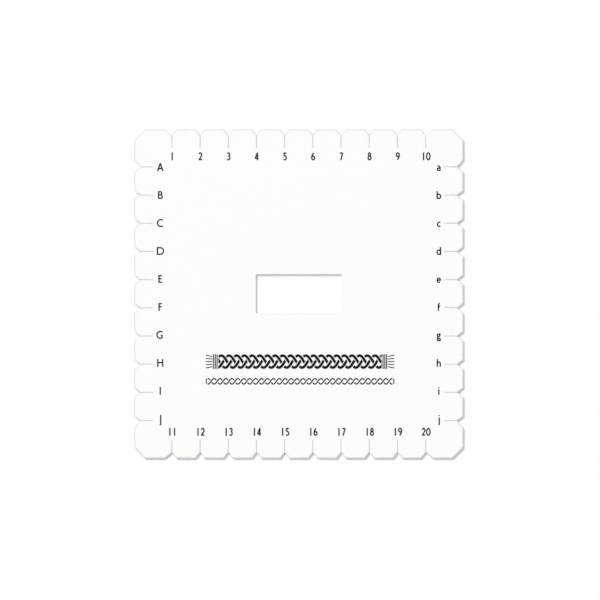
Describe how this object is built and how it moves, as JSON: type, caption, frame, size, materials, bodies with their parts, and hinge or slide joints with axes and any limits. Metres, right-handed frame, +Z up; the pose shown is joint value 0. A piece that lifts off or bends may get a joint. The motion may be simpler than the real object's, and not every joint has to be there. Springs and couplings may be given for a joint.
{
  "type": "square kumihimo braiding plate",
  "caption": "Square white foam plate for hand braiding: slits behind V-shaped notches along all sides grip the cords, and the braid goes down through the oblong centre hole.",
  "frame": {"origin": "middle of the underside, on the surface that the plate lies on", "axes": "+Z up out of the printed top face, +Y towards the side with the first ten numbers, +X to the right along the long side of the centre hole"},
  "size_m": [0.15, 0.15, 0.01],
  "materials": {
    "foam": "matte white closed-cell foam, smooth skin on both faces, fine cut cells on the walls",
    "print": "thin matt black printing ink, on the top face only"
  },
  "bodies": {
    "root": {"braiding_plate": "foam"}
  },
  "joints": []
}
